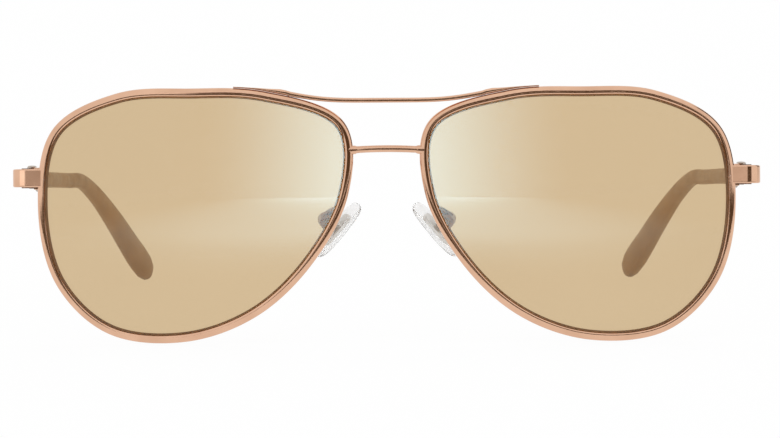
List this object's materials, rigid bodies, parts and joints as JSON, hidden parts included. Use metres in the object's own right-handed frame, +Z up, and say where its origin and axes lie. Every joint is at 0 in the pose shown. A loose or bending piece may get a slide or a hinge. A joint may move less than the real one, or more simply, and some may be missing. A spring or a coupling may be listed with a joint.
{
  "type": "aviator sunglasses",
  "caption": "Wire-rim aviator sunglasses with a brow bar, tinted drop-shaped lenses, rocking nose pads on wire arms and folding temples with sleeved tips.",
  "frame": {"origin": "on the resting plane, under the middle of the bounding box", "axes": "+X towards the wearer's left, +Y from the front back along the open temples, +Z up; the glasses stand on the lower edges of the rims and the ends of the temple tips"},
  "size_m": [0.1428, 0.1476, 0.0491],
  "materials": {
    "polished_frame": "polished pale copper plating",
    "hinge_metal": "satin copper-toned metal",
    "screw_steel": "turned small screws",
    "tinted_lens": "light brown tint with a soft mirror coat",
    "brown_sleeve": "polished brown plastic sleeve",
    "pad_plate": "small plate moulded into the pad",
    "clear_silicone": "clear soft silicone"
  },
  "bodies": {
    "front": {"rim_left": "polished_frame", "rim_right": "polished_frame", "bridge": "polished_frame", "brow_bar": "polished_frame", "lens_left": "tinted_lens", "lens_right": "tinted_lens", "endpiece_left": "polished_frame", "endpiece_right": "polished_frame", "closing_block_upper_left": "polished_frame", "closing_block_upper_right": "polished_frame", "closing_block_lower_left": "polished_frame", "closing_block_lower_right": "polished_frame", "closing_screw_left": "screw_steel", "closing_screw_right": "screw_steel", "hinge_front_left": "hinge_metal", "hinge_front_right": "hinge_metal", "hinge_screw_left": "screw_steel", "hinge_screw_right": "screw_steel", "pad_arm_left": "hinge_metal", "pad_arm_right": "hinge_metal", "pad_box_left": "hinge_metal", "pad_box_right": "hinge_metal", "pad_screw_left": "screw_steel", "pad_screw_right": "screw_steel"},
    "temple_left": {"hinge_temple_left": "hinge_metal", "temple_arm_left": "polished_frame", "temple_tip_left": "brown_sleeve"},
    "temple_right": {"hinge_temple_right": "hinge_metal", "temple_arm_right": "polished_frame", "temple_tip_right": "brown_sleeve"},
    "pad_left": {"nose_pad_left": "clear_silicone", "pad_insert_left": "pad_plate"},
    "pad_right": {"nose_pad_right": "clear_silicone", "pad_insert_right": "pad_plate"}
  },
  "joints": [
    {"name": "temple_left_fold", "type": "hinge", "parent": "front", "child": "temple_left", "pos_m": [0.06797, -0.05972, 0.03124], "axis": [0, 0.0698, 0.9976], "range_deg": [0, 83.5]},
    {"name": "temple_right_fold", "type": "hinge", "parent": "front", "child": "temple_right", "pos_m": [-0.06797, -0.05972, 0.03124], "axis": [0, -0.0698, -0.9976], "range_deg": [0, 76]},
    {"name": "pad_left_rock", "type": "hinge", "parent": "front", "child": "pad_left", "pos_m": [0.01159, -0.06512, 0.02318], "axis": [0.1826, 0.9703, 0.1587], "range_deg": [-8, 8]},
    {"name": "pad_right_rock", "type": "hinge", "parent": "front", "child": "pad_right", "pos_m": [-0.01159, -0.06512, 0.02318], "axis": [0.1826, -0.9703, -0.1587], "range_deg": [-8, 8]}
  ]
}
